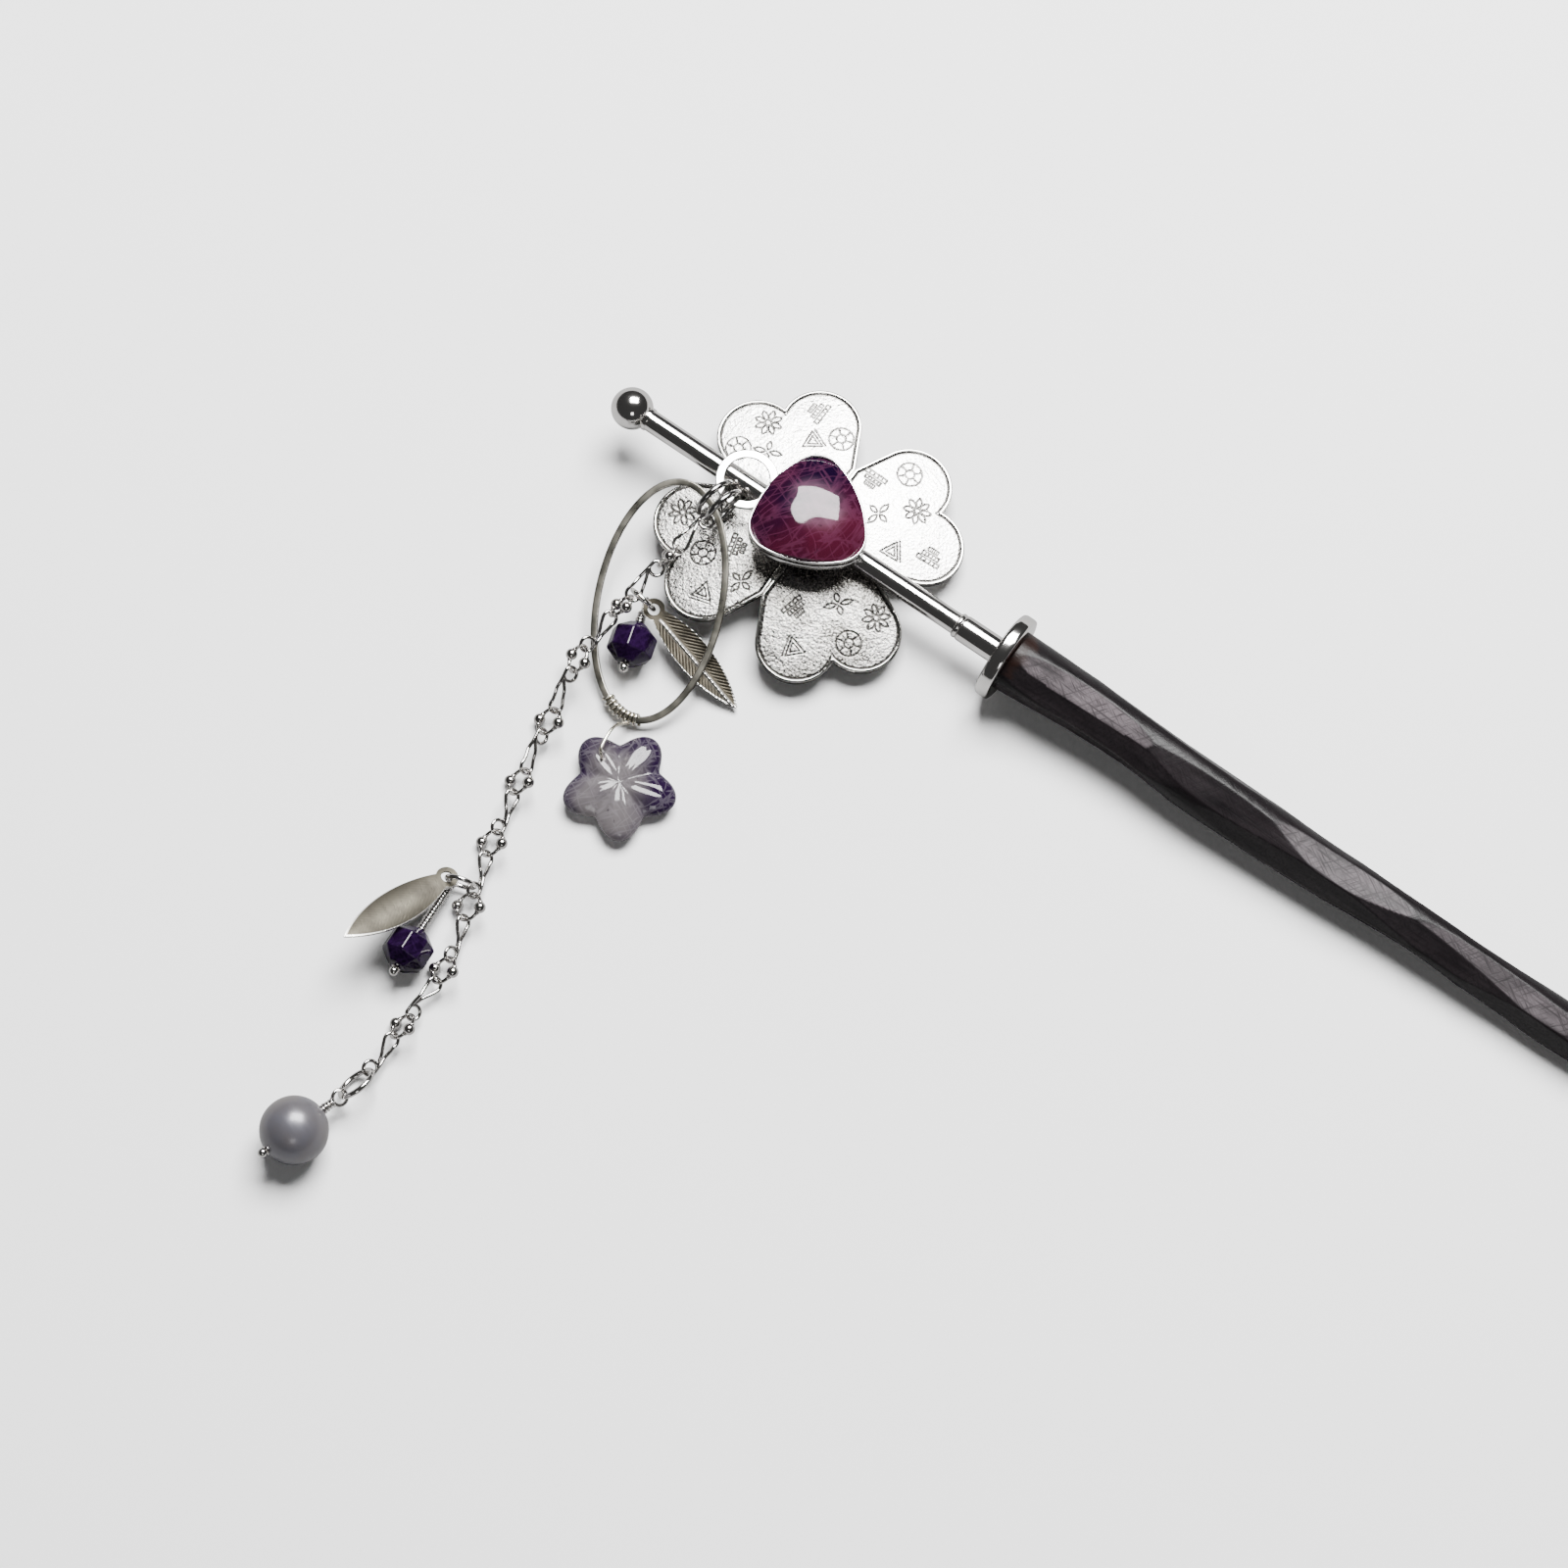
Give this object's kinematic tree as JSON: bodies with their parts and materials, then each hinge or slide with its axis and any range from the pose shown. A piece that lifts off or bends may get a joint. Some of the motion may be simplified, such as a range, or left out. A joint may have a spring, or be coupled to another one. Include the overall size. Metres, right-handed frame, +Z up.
{
  "type": "decorative hair pin",
  "caption": "Straight black hair stick with a metal head rod, a four-petal clover under a domed stone, and a hoop and a beaded chain that hang beside it.",
  "frame": {"origin": "centre of the flange face that meets the wood, on the pin's axis", "axes": "+X along the stick towards its tip, +Z up from the surface the pin lies on, which is 5.7 mm below the origin"},
  "size_m": [0.1805, 0.1197, 0.0133],
  "materials": {
    "ebony": "lacquered ebony",
    "nickel": "polished",
    "hammered_silver": "hammered and stamped",
    "dark_wire": "tarnished",
    "silver_bezel": "polished",
    "amethyst": "polished cabochon",
    "gunmetal": "darkened, brushed",
    "champagne_wire": "pale polished wire",
    "lilac_glass": "moulded glass",
    "purple_glass": "faceted",
    "antiqued_leaf": "antiqued, engraved",
    "satin_leaf": "satin",
    "grey_pearl": "pearl lustre",
    "chain_wire": "polished"
  },
  "bodies": {
    "pin": {"hair_stick": "ebony", "stick_flange": "nickel", "rod_sleeve": "nickel", "head_rod": "nickel", "ball_finial": "nickel", "clover_plate": "hammered_silver", "binding_wire_front": "dark_wire", "binding_wire_back": "dark_wire", "hanger_ring": "nickel", "bezel_cup": "silver_bezel", "amethyst_stone": "amethyst"},
    "jump_rings": {"jump_ring_left": "nickel", "jump_ring_right": "nickel"},
    "hoop": {"oval_hoop": "gunmetal", "hoop_wire_wrap": "champagne_wire"},
    "flower": {"flower_bead": "lilac_glass"},
    "link_01": {"chain_link_01": "chain_wire"},
    "chain_ring_1": {"ball_ring_1": "chain_wire"},
    "link_02": {"chain_link_02": "chain_wire"},
    "chain_ring_2": {"ball_ring_2": "chain_wire"},
    "link_03": {"chain_link_03": "chain_wire"},
    "chain_ring_3": {"ball_ring_3": "chain_wire"},
    "link_04": {"chain_link_04": "chain_wire"},
    "chain_ring_4": {"ball_ring_4": "chain_wire"},
    "link_05": {"chain_link_05": "chain_wire"},
    "chain_ring_5": {"ball_ring_5": "chain_wire"},
    "link_06": {"chain_link_06": "chain_wire"},
    "chain_ring_6": {"ball_ring_6": "chain_wire"},
    "link_07": {"chain_link_07": "chain_wire"},
    "chain_ring_7": {"ball_ring_7": "chain_wire"},
    "link_08": {"chain_link_08": "chain_wire"},
    "chain_ring_8": {"ball_ring_8": "chain_wire"},
    "link_09": {"chain_link_09": "chain_wire"},
    "chain_ring_9": {"ball_ring_9": "chain_wire"},
    "link_10": {"chain_link_10": "chain_wire"},
    "upper_ring": {"upper_charm_ring": "nickel"},
    "upper_bead_drop": {"upper_bead": "purple_glass", "upper_bead_pin": "nickel"},
    "upper_leaf_drop": {"upper_leaf": "antiqued_leaf"},
    "lower_ring": {"lower_charm_ring": "nickel"},
    "lower_bead_drop": {"lower_bead": "purple_glass", "lower_bead_pin": "nickel"},
    "lower_leaf_drop": {"lower_leaf": "satin_leaf"},
    "end_ring": {"pearl_ring": "nickel"},
    "pearl_drop": {"pearl": "grey_pearl", "pearl_pin": "nickel"}
  },
  "joints": [
    {"name": "jump_rings_swing", "type": "hinge", "parent": "pin", "child": "jump_rings", "pos_m": [-0.04041, -0.00309, 0.00288], "axis": [-0.9659, 0.2588, 0], "range_deg": [0, 8]},
    {"name": "link_01_swing", "type": "hinge", "parent": "jump_rings", "child": "link_01", "pos_m": [-0.04047, -0.00669, 0.00273], "axis": [-0.9659, 0.2588, 0], "range_deg": [0, 9]},
    {"name": "hoop_swing", "type": "hinge", "parent": "link_01", "child": "hoop", "pos_m": [-0.04047, -0.00669, 0.00273], "axis": [-0.9659, 0.2588, 0], "range_deg": [-1, 1]},
    {"name": "flower_turn", "type": "hinge", "parent": "hoop", "child": "flower", "pos_m": [-0.0343, -0.0383, -0.0039], "axis": [0, 0, 1], "range_deg": [-15, 2]},
    {"name": "chain_ring_1_turn", "type": "hinge", "parent": "link_01", "child": "chain_ring_1", "pos_m": [-0.04182, -0.01181, 0.00169], "axis": [0, 0, -1], "range_deg": [-2, 1]},
    {"name": "link_02_swing", "type": "hinge", "parent": "chain_ring_1", "child": "link_02", "pos_m": [-0.04233, -0.01468, 0.00103], "axis": [-0.9845, 0.1754, 0], "range_deg": [-1, 2]},
    {"name": "chain_ring_2_turn", "type": "hinge", "parent": "link_02", "child": "chain_ring_2", "pos_m": [-0.0431, -0.02, -0.00001], "axis": [0, 0, -1], "range_deg": [0, 20]},
    {"name": "link_03_swing", "type": "hinge", "parent": "chain_ring_2", "child": "link_03", "pos_m": [-0.04361, -0.02294, -0.00017], "axis": [-0.9854, 0.1705, 0], "range_deg": [0, 20]},
    {"name": "chain_ring_3_turn", "type": "hinge", "parent": "link_03", "child": "chain_ring_3", "pos_m": [-0.04414, -0.02836, -0.00086], "axis": [0, 0, -1], "range_deg": [-2, 15]},
    {"name": "link_04_swing", "type": "hinge", "parent": "chain_ring_3", "child": "link_04", "pos_m": [-0.04389, -0.03115, -0.0019], "axis": [0.9959, 0.0908, 0], "range_deg": [-15, 5]},
    {"name": "chain_ring_4_turn", "type": "hinge", "parent": "link_04", "child": "chain_ring_4", "pos_m": [-0.04298, -0.03639, -0.00327], "axis": [0, 0, 1], "range_deg": [-15, 4]},
    {"name": "link_05_swing", "type": "hinge", "parent": "chain_ring_4", "child": "link_05", "pos_m": [-0.04243, -0.03932, -0.00348], "axis": [-0.9829, -0.1844, 0], "range_deg": [-5, 15]},
    {"name": "chain_ring_5_turn", "type": "hinge", "parent": "link_05", "child": "chain_ring_5", "pos_m": [-0.04143, -0.0447, -0.00358], "axis": [0, 0, -1], "range_deg": [-3, 15]},
    {"name": "link_06_swing", "type": "hinge", "parent": "chain_ring_5", "child": "link_06", "pos_m": [-0.04086, -0.04764, -0.00358], "axis": [0.9816, 0.1911, 0], "range_deg": [-15, 5]},
    {"name": "chain_ring_6_turn", "type": "hinge", "parent": "link_06", "child": "chain_ring_6", "pos_m": [-0.03966, -0.05298, -0.00355], "axis": [0, 0, 1], "range_deg": [-15, 6]},
    {"name": "link_07_swing", "type": "hinge", "parent": "chain_ring_6", "child": "link_07", "pos_m": [-0.0389, -0.05588, -0.00354], "axis": [-0.9666, -0.2562, 0], "range_deg": [-4, 12]},
    {"name": "chain_ring_7_turn", "type": "hinge", "parent": "link_07", "child": "chain_ring_7", "pos_m": [-0.0373, -0.06111, -0.00355], "axis": [0, 0, -1], "range_deg": [-15, 2]},
    {"name": "link_08_swing", "type": "hinge", "parent": "chain_ring_7", "child": "link_08", "pos_m": [-0.03634, -0.06395, -0.00355], "axis": [0.9473, 0.3205, 0], "range_deg": [-15, 6]},
    {"name": "chain_ring_8_turn", "type": "hinge", "parent": "link_08", "child": "chain_ring_8", "pos_m": [-0.03479, -0.0692, -0.00355], "axis": [0, 0, 1], "range_deg": [-20, 20]},
    {"name": "link_09_swing", "type": "hinge", "parent": "chain_ring_8", "child": "link_09", "pos_m": [-0.03437, -0.07216, -0.00355], "axis": [-0.9899, -0.1421, 0], "range_deg": [-8, 18]},
    {"name": "chain_ring_9_turn", "type": "hinge", "parent": "link_09", "child": "chain_ring_9", "pos_m": [-0.03443, -0.07764, -0.00355], "axis": [0, 0, -1], "range_deg": [-20, 20]},
    {"name": "link_10_swing", "type": "hinge", "parent": "chain_ring_9", "child": "link_10", "pos_m": [-0.03458, -0.08062, -0.00355], "axis": [0.9986, -0.0524, 0], "range_deg": [-20, 20]},
    {"name": "upper_ring_turn", "type": "hinge", "parent": "link_02", "child": "upper_ring", "pos_m": [-0.04228, -0.01918, 0.00009], "axis": [-0.1428, -0.9724, -0.1846], "range_deg": [-1, 1]},
    {"name": "upper_bead_swing", "type": "hinge", "parent": "upper_ring", "child": "upper_bead_drop", "pos_m": [-0.04165, -0.01887, -0.00294], "axis": [-0.9536, -0.3012, 0], "range_deg": [-20, 0]},
    {"name": "upper_leaf_swing", "type": "hinge", "parent": "upper_ring", "child": "upper_leaf_drop", "pos_m": [-0.04021, -0.01914, -0.0017], "axis": [-0.2401, -0.9708, 0], "range_deg": [-15, 0]},
    {"name": "lower_ring_turn", "type": "hinge", "parent": "link_07", "child": "lower_ring", "pos_m": [-0.03794, -0.06033, -0.00303], "axis": [0.2917, -0.9565, -0.0014], "range_deg": [-3, 3]},
    {"name": "lower_bead_swing", "type": "hinge", "parent": "lower_ring", "child": "lower_bead_drop", "pos_m": [-0.04037, -0.06127, -0.00414], "axis": [-0.9953, -0.0971, 0], "range_deg": [-20, 0]},
    {"name": "lower_leaf_swing", "type": "hinge", "parent": "lower_ring", "child": "lower_leaf_drop", "pos_m": [-0.04093, -0.06124, -0.00266], "axis": [-0.9574, 0.2887, 0], "range_deg": [0, 5]},
    {"name": "end_ring_turn", "type": "hinge", "parent": "link_10", "child": "end_ring", "pos_m": [-0.03456, -0.08604, -0.00362], "axis": [0, 0, 1], "range_deg": [-15, 15]},
    {"name": "pearl_swing", "type": "hinge", "parent": "end_ring", "child": "pearl_drop", "pos_m": [-0.03527, -0.09046, -0.00305], "axis": [0, 0, 1], "range_deg": [-12, 12]}
  ]
}
